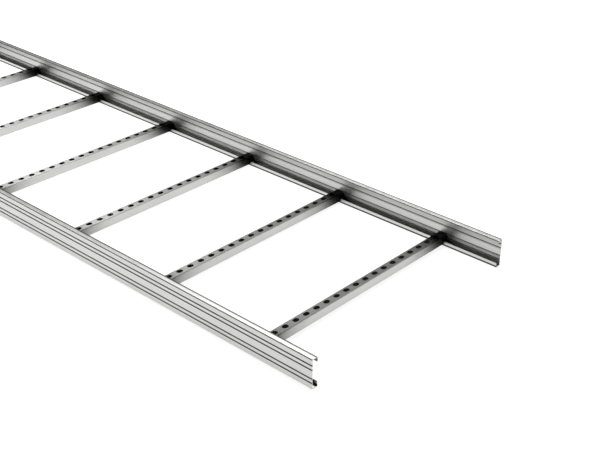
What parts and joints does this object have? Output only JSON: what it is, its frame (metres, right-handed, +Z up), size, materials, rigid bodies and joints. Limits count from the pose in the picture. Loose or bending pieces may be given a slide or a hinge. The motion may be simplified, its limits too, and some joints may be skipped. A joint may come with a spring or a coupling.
{
  "type": "cable ladder section",
  "caption": "Straight cable ladder section: grooved lipped-channel side rails joined by inset channel rungs with a row of slots along each top.",
  "frame": {"origin": "middle of the ladder's underside, at the centre of its length and width", "axes": "+X along the rails, +Y across the ladder along the rungs, +Z up, towards the open cable side"},
  "size_m": [3, 0.6, 0.065],
  "materials": {
    "rail_steel": "zinc-coated sheet steel, satin",
    "rung_steel": "zinc-coated sheet steel, satin"
  },
  "bodies": {
    "root": {"rail_left": "rail_steel", "rail_right": "rail_steel", "rung_1": "rung_steel", "rung_2": "rung_steel", "rung_3": "rung_steel", "rung_4": "rung_steel", "rung_5": "rung_steel", "rung_6": "rung_steel", "rung_7": "rung_steel", "rung_8": "rung_steel", "rung_9": "rung_steel", "rung_10": "rung_steel"}
  },
  "joints": []
}
